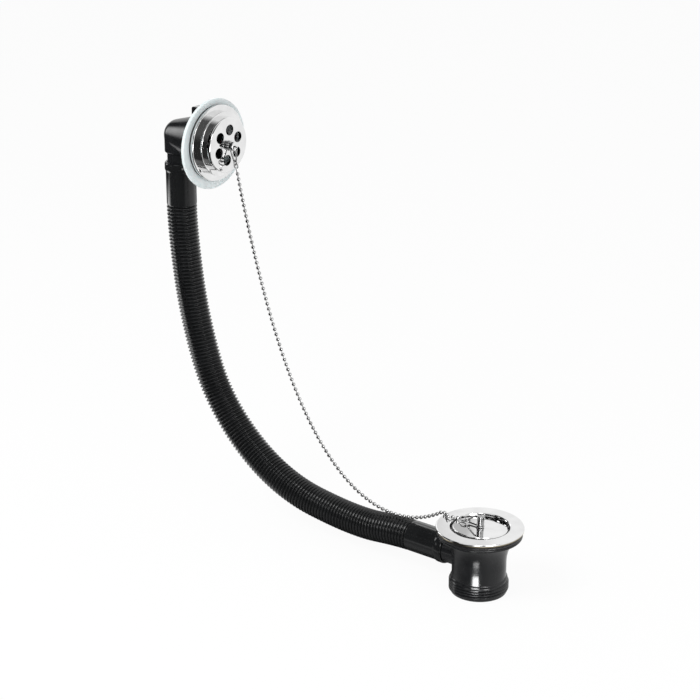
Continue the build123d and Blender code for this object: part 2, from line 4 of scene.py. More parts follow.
import bmesh
import bpy
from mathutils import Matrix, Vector


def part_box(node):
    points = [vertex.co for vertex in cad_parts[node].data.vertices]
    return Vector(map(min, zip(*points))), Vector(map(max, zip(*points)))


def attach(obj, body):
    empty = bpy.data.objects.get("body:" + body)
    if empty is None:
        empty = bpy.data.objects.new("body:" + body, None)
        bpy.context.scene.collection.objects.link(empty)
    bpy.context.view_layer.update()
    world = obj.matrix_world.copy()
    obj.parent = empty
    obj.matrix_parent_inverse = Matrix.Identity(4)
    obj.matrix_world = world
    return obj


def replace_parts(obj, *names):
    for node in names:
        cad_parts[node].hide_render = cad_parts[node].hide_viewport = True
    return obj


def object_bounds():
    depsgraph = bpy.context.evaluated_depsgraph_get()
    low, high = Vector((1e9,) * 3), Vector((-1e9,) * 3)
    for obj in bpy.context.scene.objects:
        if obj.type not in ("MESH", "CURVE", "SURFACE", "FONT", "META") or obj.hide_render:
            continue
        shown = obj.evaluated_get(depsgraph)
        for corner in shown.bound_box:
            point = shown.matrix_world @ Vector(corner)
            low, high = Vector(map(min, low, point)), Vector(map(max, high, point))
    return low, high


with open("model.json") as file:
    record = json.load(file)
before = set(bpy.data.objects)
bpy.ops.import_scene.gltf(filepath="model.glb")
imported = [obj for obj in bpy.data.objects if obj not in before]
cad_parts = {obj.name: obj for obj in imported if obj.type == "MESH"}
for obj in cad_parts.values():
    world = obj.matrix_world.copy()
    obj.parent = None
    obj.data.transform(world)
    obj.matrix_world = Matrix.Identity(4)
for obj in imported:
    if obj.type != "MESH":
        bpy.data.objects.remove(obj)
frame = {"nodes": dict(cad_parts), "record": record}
CAD_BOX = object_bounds()
FLOOR = CAD_BOX[0].z

bl_info = {
    "name": "Bath waste and overflow",
    "version": (1, 0, 0),
    "blender": (4, 5, 0),
    "location": "View3D > Sidebar > Bath waste",
    "description": "Dresses a bath waste, its overflow head, hose and plug chain",
    "category": "Object",
}


# Settings

def length(name, description, default):
    return bpy.props.FloatProperty(
        name=name, description=description, default=default,
        min=0.0, subtype="DISTANCE", unit="LENGTH", precision=4,
    )


def colour(name, description, default):
    return bpy.props.FloatVectorProperty(
        name=name, description=description, default=default, size=3, min=0.0, max=1.0, subtype="COLOR"
    )


def factor(name, description, default):
    return bpy.props.FloatProperty(
        name=name, description=description, default=default, min=0.0, max=1.0, subtype="FACTOR"
    )


def count(name, description, default, least):
    return bpy.props.IntProperty(name=name, description=description, default=default, min=least)


def watts(name, description, default):
    return bpy.props.FloatProperty(
        name=name, description=description, default=default, min=0.0, precision=4
    )


class HoseSettings(bpy.types.PropertyGroup):
    """Sizes of the corrugated hose and its cuffs"""

    rib_pitch: length("Rib pitch", "Distance from one rib to the next", 0.0031)
    crest_radius: length("Crest radius", "Outer radius of the ribs", 0.0128)
    valley_radius: length("Valley radius", "Outer radius between the ribs", 0.0110)
    cuff_radius: length("Cuff radius", "Outer radius of the plain cuffs", 0.0126)
    cuff_length: length("Cuff length", "Length of each plain cuff", 0.0375)
    cuff_bore: length("Cuff bore", "Inner radius of the cuffs", 0.0111)
    bead_radius: length("Bead radius", "Outer radius of the rolled bead on each cuff", 0.0134)
    bead_length: length("Bead length", "Length of the rolled bead", 0.008)
    sides: count("Sides", "Points round the hose", 48, 12)
    rib_steps: count("Steps per rib", "Rings across one rib", 10, 4)


class ChainSettings(bpy.types.PropertyGroup):
    """Sizes of the ball chain"""

    ball_radius: length("Ball radius", "Outer radius of a ball", 0.0016)
    mouth_radius: length("Mouth radius", "Radius of the hole in each end of a ball", 0.00062)
    wire_radius: length("Wire radius", "Radius of the wires between the balls", 0.00042)
    sides: count("Ball sides", "Points round a ball", 18, 8)
    ball_rows: count("Ball rows", "Bands of a ball from mouth to mouth", 11, 4)
    wire_sides: count("Wire sides", "Points round a wire", 10, 6)


class ThreadSettings(bpy.types.PropertyGroup):
    """Sizes of the outlet's pipe thread"""

    crest_radius: length("Crest radius", "Outer radius of the thread", 0.0239)
    depth: length("Depth", "Depth of the thread", 0.0015)
    pitch: length("Pitch", "Distance from one turn to the next", 0.00231)
    height: length("Height", "Length of the threaded band", 0.0115)
    sides: count("Sides", "Points in one turn", 96, 24)


class FinishSettings(bpy.types.PropertyGroup):
    """Colours and gloss of the finishes"""

    moulding: colour("Moulding", "Black gloss plastic of the body and the elbow", (0.011, 0.0115, 0.0125))
    hose: colour("Hose", "Black satin plastic of the hose", (0.010, 0.0105, 0.011))
    chrome: colour("Chrome", "Polished plating", (0.81, 0.81, 0.81))
    # This colour is darker than the chrome partly as painted shade. On the plug's post it stands in for
    # dark reflections, and on the links it is partly the wire and partly painted shade.
    wire: colour("Wire", "Drawn wire of the links, and the plug's post", (0.38, 0.38, 0.38))
    chain: colour("Chain", "Plated balls of the chain", (0.5, 0.5, 0.5))
    rubber: colour("Rubber", "Black seals", (0.016, 0.016, 0.017))
    washer: colour("Washer", "Pale sealing washer", (0.74, 0.80, 0.81))
    brass: colour("Brass", "Threaded inserts", (0.72, 0.52, 0.22))
    steel: colour("Steel", "Centre screw", (0.55, 0.55, 0.56))
    # Warm colour painted on the flange's lower edge as a reflection, and the height of that painted band
    painted_rim_reflection: colour("Painted rim reflection", "Warm reflection painted along the flange's lower edge", (0.50, 0.42, 0.26))
    painted_reflection_height: length("Painted reflection height", "Height of the flange's edge where the warm reflection is painted", 0.0006)
    moulding_roughness: factor("Moulding roughness", "How blurred the moulding's reflections are", 0.18)
    hose_roughness: factor("Hose roughness", "How blurred the hose's reflections are", 0.13)
    chrome_roughness: factor("Chrome roughness", "How blurred the plating's reflections are", 0.04)
    wire_roughness: factor("Wire roughness", "How blurred the links' reflections are", 0.14)
    chain_roughness: factor("Chain roughness", "How blurred the chain's reflections are", 0.12)
    rubber_roughness: factor("Rubber roughness", "How blurred the seals' reflections are", 0.32)
    washer_roughness: factor("Washer roughness", "How blurred the washer's reflections are", 0.35)
    brass_roughness: factor("Brass roughness", "How blurred the inserts' reflections are", 0.25)
    steel_roughness: factor("Steel roughness", "How blurred the screw's reflections are", 0.3)


class StageSettings(bpy.types.PropertyGroup):
    """Camera, floor and lamps"""

    azimuth: bpy.props.FloatProperty(
        name="Azimuth", description="Camera's turn round the object",
        default=math.radians(38.39), subtype="ANGLE",
    )
    elevation: bpy.props.FloatProperty(
        name="Elevation", description="Camera's height angle",
        default=math.radians(20.94), subtype="ANGLE",
    )
    distance: length("Distance", "From the camera to the point that it looks at", 1.64904)
    focal: bpy.props.FloatProperty(
        name="Focal length", description="Of the lens on a 36 mm sensor, in millimetres",
        default=105.43, min=1.0,
    )
    target: bpy.props.FloatVectorProperty(
        name="Target", description="Point that the camera looks at",
        default=(-0.1307, 0.0, 0.12105), subtype="XYZ",
    )
    floor: colour("Floor", "Pale floor", (0.93, 0.93, 0.93))
    floor_white: factor("Floor white", "Share of plain white in the floor that the camera sees", 0.93)
    key_power: watts("Key lamp", "Watts of the key lamp", 14.0)
    fill_power: watts("Fill lamp", "Watts of the fill lamp", 6.0)
    neck_power: watts("Neck lamp", "Watts of the neck lamp", 0.0024)
    sky: factor("Sky", "Strength of the even light from all sides", 0.55)


# Mesh tools

MERGE = 1e-6  # corners of a solid that are closer than this are one


def add_object(name, mesh, finish):
    piece = bpy.data.objects.new(name, mesh)
    bpy.context.scene.collection.objects.link(piece)
    piece.data.materials.clear()
    piece.data.materials.append(finish)
    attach(piece, "root")
    return piece


def smooth_mesh(name, points, faces):
    mesh = bpy.data.meshes.new(name)
    mesh.from_pydata(points, [], faces)
    mesh.shade_smooth()
    return mesh


def flat_mesh(name, width, depth, height, finish):
    """A level rectangle about the vertical axis."""
    w, d = width / 2, depth / 2
    mesh = bpy.data.meshes.new(name)
    corners = [(-w, -d, height), (w, -d, height), (w, d, height), (-w, d, height)]
    mesh.from_pydata(corners, [], [(0, 1, 2, 3)])
    mesh.materials.append(finish)
    return mesh


def skin(name, rings):
    """A smooth mesh through rings of points, each ring closed on itself."""
    points = len(rings[0])
    faces = []
    for i in range(len(rings) - 1):
        here, there = i * points, (i + 1) * points
        for k in range(points):
            m = (k + 1) % points
            faces.append((here + k, here + m, there + m, there + k))
    return smooth_mesh(name, [p for ring in rings for p in ring], faces)


def ring(centre, across, up, radius, sides):
    turn = 2 * math.pi / sides
    return [
        centre + radius * (math.cos(turn * k) * across + math.sin(turn * k) * up) for k in range(sides)
    ]


def islands(mesh):
    """Centres of the separate solids in a mesh."""
    bm = bmesh.new()
    bm.from_mesh(mesh)
    bmesh.ops.remove_doubles(bm, verts=bm.verts, dist=MERGE)
    seen = set()
    centres = []
    for start in bm.verts:
        if start in seen:
            continue
        group = [start]
        seen.add(start)
        for vert in group:
            for edge in vert.link_edges:
                other = edge.other_vert(vert)
                if other not in seen:
                    seen.add(other)
                    group.append(other)
        low = Vector([min(v.co[i] for v in group) for i in range(3)])
        high = Vector([max(v.co[i] for v in group) for i in range(3)])
        centres.append((low + high) / 2)
    bm.free()
    return centres


# Finishes

NOISE_LOW, NOISE_HIGH = 0.3, 0.7  # where most of a noise's values lie
BUMP_DEPTH = 0.0001
BLACK, WHITE = (0.0, 0.0, 0.0, 1.0), (1.0, 1.0, 1.0, 1.0)


def new_finish(name):
    """A material, its nodes and its shader."""
    finish = bpy.data.materials.new(name)
    finish.use_nodes = True
    tree = finish.node_tree
    return finish, tree, tree.nodes["Principled BSDF"]


def place_on(tree, kind="Object"):
    """Place on the piece, in metres from the frame's origin or as shares of its box."""
    return tree.nodes.new("ShaderNodeTexCoord").outputs[kind]


def math_node(tree, operation, first, second):
    """A sum whose second value is a number or another node's output."""
    node = tree.nodes.new("ShaderNodeMath")
    node.operation = operation
    tree.links.new(first, node.inputs[0])
    if isinstance(second, bpy.types.NodeSocket):
        tree.links.new(second, node.inputs[1])
    else:
        node.inputs[1].default_value = second
    return node.outputs[0]


def noise(tree, place, scale, detail=3.0):
    texture = tree.nodes.new("ShaderNodeTexNoise")
    texture.inputs["Scale"].default_value = scale
    texture.inputs["Detail"].default_value = detail
    tree.links.new(place, texture.inputs["Vector"])
    return texture.outputs["Fac"]


def gloss(tree, shader, value, low, high):
    """Roughness that follows a noise from low to high."""
    node = tree.nodes.new("ShaderNodeMapRange")
    node.inputs["From Min"].default_value = NOISE_LOW
    node.inputs["From Max"].default_value = NOISE_HIGH
    node.inputs["To Min"].default_value = low
    node.inputs["To Max"].default_value = high
    tree.links.new(value, node.inputs["Value"])
    tree.links.new(node.outputs["Result"], shader.inputs["Roughness"])


def bump(tree, shader, height, strength):
    node = tree.nodes.new("ShaderNodeBump")
    node.inputs["Distance"].default_value = BUMP_DEPTH
    node.inputs["Strength"].default_value = strength
    tree.links.new(height, node.inputs["Height"])
    tree.links.new(node.outputs["Normal"], shader.inputs["Normal"])


def tint(tree, shader, value, base, low, high):
    """Colour whose lightness follows a noise, from low to high times the base."""
    ramp = tree.nodes.new("ShaderNodeValToRGB")
    dark, light = ramp.color_ramp.elements
    dark.position = NOISE_LOW
    light.position = NOISE_HIGH
    dark.color = (*[c * low for c in base], 1.0)
    light.color = (*[min(c * high, 1.0) for c in base], 1.0)
    tree.links.new(value, ramp.inputs["Fac"])
    tree.links.new(ramp.outputs["Color"], shader.inputs["Base Color"])


def plastic_finish(name, base, roughness):
    """Moulded plastic with a faint mottle."""
    finish, tree, shader = new_finish(name)
    place = place_on(tree)
    tint(tree, shader, noise(tree, place, scale=60.0), base, low=0.85, high=1.2)
    gloss(tree, shader, noise(tree, place, scale=140.0), roughness * 0.85, roughness * 1.25)
    shader.inputs["Specular IOR Level"].default_value = 0.34
    bump(tree, shader, noise(tree, place, scale=900.0, detail=2.0), strength=0.03)
    return finish


def metal_finish(name, base, roughness, grain=0.0):
    """Plated metal, with tool marks where it has a grain."""
    finish, tree, shader = new_finish(name)
    place = place_on(tree)
    tint(tree, shader, noise(tree, place, scale=90.0), base, low=0.94, high=1.04)
    shader.inputs["Metallic"].default_value = 1.0
    gloss(tree, shader, noise(tree, place, scale=220.0), roughness * 0.7, roughness * 1.4)
    bump(tree, shader, noise(tree, place, scale=260.0, detail=1.0), strength=0.04 + grain)
    return finish


def turned_finish(name, base, roughness):
    """Bare metal from a lathe."""
    return metal_finish(name, base, roughness, grain=0.05)


def rubber_finish(name, base, roughness):
    finish, tree, shader = new_finish(name)
    place = place_on(tree)
    tint(tree, shader, noise(tree, place, scale=300.0), base, low=0.8, high=1.25)
    gloss(tree, shader, noise(tree, place, scale=400.0), roughness - 0.06, roughness + 0.06)
    bump(tree, shader, noise(tree, place, scale=1500.0, detail=2.0), strength=0.15)
    return finish


def washer_finish(name, base, roughness):
    """Pale rubber that light enters a little."""
    finish, tree, shader = new_finish(name)
    place = place_on(tree)
    tint(tree, shader, noise(tree, place, scale=50.0), base, low=0.94, high=1.06)
    gloss(tree, shader, noise(tree, place, scale=200.0), roughness - 0.07, roughness + 0.07)
    shader.inputs["Subsurface Weight"].default_value = 0.25
    shader.inputs["Subsurface Radius"].default_value = (0.004, 0.005, 0.005)
    bump(tree, shader, noise(tree, place, scale=500.0), strength=0.05)
    return finish


def painted_rim_reflection_finish(bottom, seal_radius):
    """Plating with a warm reflection painted along the flange's lower edge, outside the seal."""
    look = bpy.context.scene.waste_finish
    finish = metal_finish("finish_flange", look.chrome, look.chrome_roughness)
    tree = finish.node_tree
    shader = tree.nodes["Principled BSDF"]
    axes = tree.nodes.new("ShaderNodeSeparateXYZ")
    tree.links.new(place_on(tree), axes.inputs[0])
    level = tree.nodes.new("ShaderNodeCombineXYZ")
    for axis in ("X", "Y"):
        tree.links.new(axes.outputs[axis], level.inputs[axis])
    radius = tree.nodes.new("ShaderNodeVectorMath")
    radius.operation = "LENGTH"
    tree.links.new(level.outputs[0], radius.inputs[0])
    # Mask of the painted reflection: the flange's lowest sliver, outside the seal
    low = math_node(tree, "LESS_THAN", axes.outputs["Z"], bottom + look.painted_reflection_height)
    outside = math_node(tree, "GREATER_THAN", radius.outputs["Value"], seal_radius)
    mix = tree.nodes.new("ShaderNodeMix")
    mix.data_type = "RGBA"
    tree.links.new(math_node(tree, "MULTIPLY", low, outside), mix.inputs["Factor"])
    tree.links.new(shader.inputs["Base Color"].links[0].from_socket, mix.inputs["A"])
    mix.inputs["B"].default_value = (*look.painted_rim_reflection, 1.0)
    tree.links.new(mix.outputs["Result"], shader.inputs["Base Color"])
    return finish


# How each slot's material is made, and its colour in the settings, whose roughness has the same name
FINISHES = {
    "black_moulding": (plastic_finish, "moulding"),
    "black_hose": (plastic_finish, "hose"),
    "bright_chrome": (metal_finish, "chrome"),
    "chrome_wire": (metal_finish, "wire"),
    "chain": (metal_finish, "chain"),
    "steel_screw": (turned_finish, "steel"),
    "brass": (turned_finish, "brass"),
    "black_rubber": (rubber_finish, "rubber"),
    "pale_washer": (washer_finish, "washer"),
}


def finish_for(slot):
    """The material of a slot, made once."""
    name = f"finish_{slot}"
    made = bpy.data.materials.get(name)
    if made:
        return made
    if slot not in FINISHES:
        raise RuntimeError(f"no finish for the slot {slot}")
    look = bpy.context.scene.waste_finish
    make, kind = FINISHES[slot]
    return make(name, getattr(look, kind), getattr(look, f"{kind}_roughness"))


class WASTE_OT_finishes(bpy.types.Operator):
    """Gives each solid of the frame its finish"""

    bl_idname = "bath_waste.finishes"
    bl_label = "Finish the solids"

    def execute(self, context):
        for entry in frame["record"]["subparts"]:
            node = frame["nodes"][entry["node"]]
            node.data.materials.clear()
            node.data.materials.append(finish_for(entry["material_slot"]))
        seal_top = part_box("upper_seal")[1]
        # The flange's lower edge gets a painted warm reflection
        frame["nodes"]["waste_flange"].data.materials[0] = painted_rim_reflection_finish(seal_top.z, seal_top.x)
        # Painted shade: the chrome post takes the darker wire colour to stand in for its dark reflections
        frame["nodes"]["plug_post"].data.materials[0] = finish_for("chrome_wire")
        return {"FINISHED"}


# Hose

# Route of the hose's ribbed part in X and Z, from the upper cuff to the lower one
HOSE_ROUTE = [
    (-0.3108, 0.2096),
    (-0.3108, 0.1877),
    (-0.3004, 0.1119),
    (-0.2737, 0.0378),
    (-0.2088, -0.0178),
    (-0.1259, -0.0300),
    (-0.0776, -0.0244),
    (-0.0666, -0.0244),
]
ROUTE_STEPS = 64
RIB_FULLNESS = 0.75  # one makes ribs as wide as the valleys, and less makes them fuller

# Turned outline of a cuff, as pairs of a distance and a step in radius
CUFF_MOUTH = [(0.012, 0.0), (0.0006, 0.0), (0.0001, 0.0003)]  # from the open end, out from the bore
CUFF_LIP = [(0.0, 0.0016), (0.0002, 0.0009), (0.0008, 0.0003), (0.0018, 0.0)]  # in from the bead
BEAD_BACK = [(-0.0022, 0.0), (-0.0012, 0.0002)]  # from the bead's end, in from the bead
CUFF_START = [(-0.0004, 0.0002), (0.0004, 0.0)]  # from the bead's end, out from the cuff
CUFF_BACK = [(-0.0014, 0.0), (-0.0006, 0.0002)]  # from the cuff's end, in from the cuff
RIB_START = [(-0.0002, 0.0003)]  # from the cuff's end, out from the valleys


def hose_line():
    """Points of the smooth curve that the route controls."""
    curve = bpy.data.curves.new("hose_route", "CURVE")
    curve.dimensions = "3D"
    curve.resolution_u = ROUTE_STEPS
    spline = curve.splines.new("NURBS")
    spline.points.add(len(HOSE_ROUTE) - 1)
    for point, (x, z) in zip(spline.points, HOSE_ROUTE):
        point.co = (x, 0.0, z, 1.0)
    spline.use_endpoint_u = True
    spline.order_u = 3
    guide = bpy.data.objects.new("hose_route", curve)
    bpy.context.scene.collection.objects.link(guide)
    bpy.context.view_layer.update()
    mesh = bpy.data.meshes.new_from_object(guide)
    points = [v.co.copy() for v in mesh.vertices]
    bpy.data.objects.remove(guide)
    bpy.data.curves.remove(curve)
    bpy.data.meshes.remove(mesh)
    return points


def walk(points):
    """A function from length along the points to place and direction, straight on past both ends."""
    lengths = [0.0]
    for a, b in zip(points, points[1:]):
        lengths.append(lengths[-1] + (b - a).length)

    def at(s):
        i = 0
        while i < len(lengths) - 2 and lengths[i + 1] < s:
            i += 1
        share = (s - lengths[i]) / (lengths[i + 1] - lengths[i])
        direction = (points[i + 1] - points[i]).normalized()
        if 0 < s < lengths[-1]:
            before = points[max(i - 1, 0)]
            after = points[min(i + 2, len(points) - 1)]
            direction = (after - before).normalized()
        if 0 <= share <= 1:
            return points[i].lerp(points[i + 1], share), direction
        return points[i] + direction * (s - lengths[i]), direction

    return at, lengths[-1]


def cuff_profile(size):
    """Distance from the cuff's open end and radius, from inside the bore round to the first rib."""
    back, end = size.bead_length, size.cuff_length
    return [
        *[(d, size.cuff_bore + step) for d, step in CUFF_MOUTH],
        *[(d, size.bead_radius - step) for d, step in CUFF_LIP],
        *[(back + d, size.bead_radius - step) for d, step in BEAD_BACK],
        *[(back + d, size.cuff_radius + step) for d, step in CUFF_START],
        *[(end + d, size.cuff_radius - step) for d, step in CUFF_BACK],
        *[(end + d, size.valley_radius + step) for d, step in RIB_START],
    ]


class WASTE_OT_hose(bpy.types.Operator):
    """Makes the corrugated hose with its round ribs and rolled cuffs"""

    bl_idname = "bath_waste.hose"
    bl_label = "Hose"

    def execute(self, context):
        size = context.scene.waste_hose
        at, total = walk(hose_line())
        across = Vector((0, 1, 0))
        rings = []
        for s, radius in self.stations(size, total):
            place, direction = at(s)
            rings.append(ring(place, across, direction.cross(across), radius, size.sides))
        mesh = skin("ribbed_hose", rings)
        piece = add_object("ribbed_hose", mesh, finish_for("black_hose"))
        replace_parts(piece, "overflow_hose")
        return {"FINISHED"}

    def stations(self, size, total):
        """Length along the route and radius of each ring, from end to end."""
        cuff = cuff_profile(size)
        rise = size.crest_radius - size.valley_radius
        steps = round(total / size.rib_pitch) * size.rib_steps
        ribs = []
        for i in range(steps + 1):
            phase = (i / size.rib_steps) % 1.0
            swell = (0.5 - 0.5 * math.cos(2 * math.pi * phase)) ** RIB_FULLNESS
            ribs.append((total * i / steps, size.valley_radius + rise * swell))
        upper = [(d - size.cuff_length, r) for d, r in cuff]
        lower = [(total + size.cuff_length - d, r) for d, r in reversed(cuff)]
        return [*upper, *ribs, *lower]


# Chain

MOUTH_LIP = [(0.0003, 0.8), (0.00005, 0.82)]  # distance in from a ball's end, share of the mouth's radius
LINK_GAP = 0.0001  # from the upper link to the first wire


def ball_profile(size):
    """Distance along the axis and radius of a pressed ball, with its turned-in mouths."""
    r, mouth = size.ball_radius, size.mouth_radius
    start = math.asin(mouth / r)
    rows = []
    for i in range(size.ball_rows + 1):
        angle = start + (math.pi - 2 * start) * i / size.ball_rows
        rows.append((-r * math.cos(angle), r * math.sin(angle)))
    rim = rows[0][0]
    lip = [(rim + d, mouth * share) for d, share in MOUTH_LIP]
    return [*lip, *rows, *[(-d, radius) for d, radius in reversed(lip)]]


def turned_mesh(bm, rows, place, direction, sides):
    """Adds a turned shape on an axis to a mesh."""
    across = direction.orthogonal().normalized()
    up = direction.cross(across)
    rings = []
    for d, r in rows:
        rings.append([bm.verts.new(p) for p in ring(place + direction * d, across, up, r, sides)])
    for a, b in zip(rings, rings[1:]):
        for k in range(sides):
            m = (k + 1) % sides
            bm.faces.new((a[k], a[m], b[m], b[k]))


def in_order(points, first):
    """Points sorted from neighbour to neighbour, from the one nearest to a place."""
    left = list(points)
    line = []
    near = first
    while left:
        near = min(left, key=lambda p: (p - near).length)
        left.remove(near)
        line.append(near)
    return line


class WASTE_OT_chain(bpy.types.Operator):
    """Makes the round balls and wires of the plug chain"""

    bl_idname = "bath_waste.chain"
    bl_label = "Chain"

    def execute(self, context):
        size = context.scene.waste_chain
        low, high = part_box("stay_link")
        middle = (low + high) / 2
        balls = in_order(islands(frame["nodes"]["chain_beads"].data), middle)
        start = Vector((middle.x, middle.y, low.z))
        start += (balls[0] - start).normalized() * LINK_GAP
        low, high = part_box("plug_link")
        middle = (low + high) / 2
        end = Vector((low.x - size.wire_radius, middle.y, middle.z))
        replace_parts(self.balls(size, balls), "chain_beads")
        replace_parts(self.wires(size, [start, *balls, end]), "chain_links")
        return {"FINISHED"}

    def balls(self, size, places):
        bm = bmesh.new()
        rows = ball_profile(size)
        for i, ball in enumerate(places):
            before = places[max(i - 1, 0)]
            after = places[min(i + 1, len(places) - 1)]
            turned_mesh(bm, rows, ball, (after - before).normalized(), size.sides)
        return self.piece("chain_balls", bm)

    def wires(self, size, stops):
        bm = bmesh.new()
        for a, b in zip(stops, stops[1:]):
            run = b - a
            rows = [(0.0, size.wire_radius), (run.length, size.wire_radius)]
            turned_mesh(bm, rows, a, run.normalized(), size.wire_sides)
        return self.piece("chain_wires", bm)

    def piece(self, name, bm):
        mesh = bpy.data.meshes.new(name)
        bm.to_mesh(mesh)
        bm.free()
        mesh.shade_smooth()
        return add_object(name, mesh, finish_for("chain"))


# Outlet

BAND_MARGIN = 0.0002  # the band is cut back this far past the thread
RIDGE_SINK = 0.00005  # the ridge's foot lies this deep in the band
RIDGE_FADE = 6  # the ridge rises to its full depth over one turn divided by this
RIDGE_FIRST, RIDGE_LAST = 0.5, 0.45  # pitches from the band's ends to the ridge's middle

# Outline of the ridge: share of the pitch and share of the depth
RIDGE_OUTLINE = [
    (-0.46, 0.0),
    (-0.40, 0.04),
    (-0.16, 0.93),
    (-0.10, 1.0),
    (0.10, 1.0),
    (0.16, 0.93),
    (0.40, 0.04),
    (0.46, 0.0),
]


class WASTE_OT_outlet(bpy.types.Operator):
    """Makes the moulded body with the pipe thread on its outlet"""

    bl_idname = "bath_waste.outlet"
    bl_label = "Threaded outlet"

    def execute(self, context):
        size = context.scene.waste_thread
        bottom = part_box("waste_body")[0].z
        root = size.crest_radius - size.depth
        mesh = frame["nodes"]["waste_body"].data.copy()
        for vert in mesh.vertices:
            radius = math.hypot(vert.co.x, vert.co.y)
            if vert.co.z < bottom + size.height + BAND_MARGIN and radius > root:
                vert.co.x *= root / radius
                vert.co.y *= root / radius
        finish = finish_for("black_moulding")
        body = add_object("moulded_body", mesh, finish)
        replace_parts(body, "waste_body")
        add_object("outlet_thread", self.ridge(size, root, bottom), finish)
        return {"FINISHED"}

    def ridge(self, size, root, bottom):
        """One helical ridge, running out at both ends."""
        foot = root - RIDGE_SINK
        rise = size.depth + RIDGE_SINK
        first = bottom + size.pitch * RIDGE_FIRST
        last = bottom + size.height - size.pitch * RIDGE_LAST
        turns = (last - first) / size.pitch
        steps = round(turns * size.sides)
        points = []
        for i in range(steps + 1):
            share = i / steps
            angle = 2 * math.pi * turns * share
            middle = first + (last - first) * share
            fade = min(1.0, RIDGE_FADE * share * turns, RIDGE_FADE * (1 - share) * turns)
            for offset, height in RIDGE_OUTLINE:
                radius = foot + rise * height * fade
                z = middle + offset * size.pitch
                points.append((radius * math.cos(angle), radius * math.sin(angle), z))
        row = len(RIDGE_OUTLINE)
        faces = []
        for i in range(steps):
            here, there = i * row, (i + 1) * row
            for k in range(row - 1):
                faces.append((here + k, there + k, there + k + 1, here + k + 1))
        return smooth_mesh("outlet_thread", points, faces)


# Stage

FLOOR_WIDTH = 12.0
FLOOR_ROUGHNESS = 0.9
SENSOR_WIDTH = 36.0
WHITE_RAYS = ("Is Camera Ray", "Is Glossy Ray", "Is Transmission Ray")

# Soft lamps: place, width and height
KEY_LAMP = ((-0.5, -1.0, 1.2), (0.7, 0.7))
FILL_LAMP = ((1.2, -0.4, 0.7), (0.9, 0.9))

# Small lamp whose reflection is the highlight on the lower half of the body's neck
NECK_LAMP = ((0.0166, -0.0364, FLOOR + 0.0053), (0.0135, 0.0115))
NECK_LAMP_FACES = (0.0085, -0.0187, FLOOR + 0.0154)
NECK_LAMP_SPREAD = math.radians(60)

# Cards that show only in reflections: place, point faced, width and height, glow, width of the soft edge
CARDS = {
    "flag_left": ((-0.90, -0.83, 0.65), (0.0, -0.83, 0.65), (2.16, 2.5), 0.0, 0.06),
    "flag_over_left": ((-1.25, 0.45, 1.30), (-1.20, 0.45, 0.0), (1.5, 1.5), 0.08, 0.25),
    "flag_drum": ((0.39, -0.35, 1.0), (-0.26, 0.0, 0.29), (1.7, 1.6), 0.10, 0.50),
    "flag_front": ((-0.25, -1.88, 0.50), (-0.13, 0.0, 0.40), (1.9, 2.6), 0.02, 0.20),
    "flag_camera_side": ((1.15, -1.61, 1.50), (-0.13, 0.0, 1.50), (2.4, 4.4), 0.03, 0.70),
    "flag_front_floor": ((0.1, -1.33, FLOOR + 0.001), (0.1, -1.33, 1.0), (3.4, 2.64), 0.03, 0.04),
    "flag_back_floor": ((-0.85, 0.47, FLOOR + 0.001), (-0.85, 0.47, 1.0), (0.9, 0.9), 0.06, 0.10),
    "flag_body_floor": ((-0.11, 0.06, FLOOR + 0.0012), (-0.11, 0.06, 1.0), (0.20, 0.20), 0.04, 0.03),
    "flag_right_floor": ((0.22, -0.02, FLOOR + 0.0014), (0.22, -0.02, 1.0), (0.46, 0.40), 0.60, 0.10),
    "top_card": ((0.135, -0.21, 0.44), (0.0, 0.0, -0.02), (0.14, 0.20), 6.0, 0.03),
    "streak_card": ((-1.08, 0.85, 0.68), (-0.30, 0.0, 0.28), (0.35, 0.30), 3.0, 0.08),
    "elbow_card": ((-0.88, -0.115, 0.39), (0.0, -0.115, 0.39), (0.25, 0.36), 5.0, 0.09),
    "rim_strip": ((-0.42, -0.035, 0.095), (0.0, -0.035, 0.095), (0.10, 0.19), 4.0, 0.025),
    "cuff_card": ((-0.87, -1.05, 0.46), (0.0, -1.05, 0.46), (0.55, 0.34), 2.5, 0.15),
    "rib_card": ((0.18, -0.08, 0.19), (-0.12, 0.0, -0.02), (0.14, 0.14), 20.0, 0.05),
    "rib_card_low": ((0.16, -0.32, 0.13), (-0.12, 0.0, -0.02), (0.14, 0.14), 12.0, 0.05),
    "hose_strip": ((-0.13, -0.080, FLOOR + 0.002), (-0.13, -0.080, 1.0), (0.26, 0.08), 0.8, 0.038),
    "strip_far": ((0.0253, -0.0556, FLOOR + 0.003), (-0.0123, 0.0254, 1.0), (0.018, 0.030), 2.5, 0.008),
    "strip_glow": ((0.039, -0.068, FLOOR + 0.002), (-0.008, 0.020, 1.0), (0.080, 0.100), 0.7, 0.03),
    "grey_card_plug": ((-0.88, 1.11, 0.473), (0.0, 0.0, 0.0024), (0.3, 0.14), 0.57, 0.02),
    "grey_card_flange": ((-0.90, 1.00, 0.655), (0.0, 0.0, 0.0036), (0.3, 0.24), 0.78, 0.05),
    "grey_card_near": ((-0.813, 1.037, 0.71), (0.0, 0.0, 0.0036), (0.23, 0.12), 0.82, 0.03),
}


def look_at(obj, target):
    obj.rotation_mode = "QUATERNION"
    obj.rotation_quaternion = (Vector(target) - obj.location).to_track_quat("-Z", "Y")


def area_lamp(name, place, size, target, power):
    """A soft lamp that leaves its own reflection to the cards."""
    lamp = bpy.data.lights.new(name, "AREA")
    lamp.shape = "RECTANGLE"
    lamp.size, lamp.size_y = size
    lamp.energy = power
    obj = bpy.data.objects.new(name, lamp)
    obj.location = place
    bpy.context.scene.collection.objects.link(obj)
    look_at(obj, target)
    obj.visible_glossy = False
    return obj


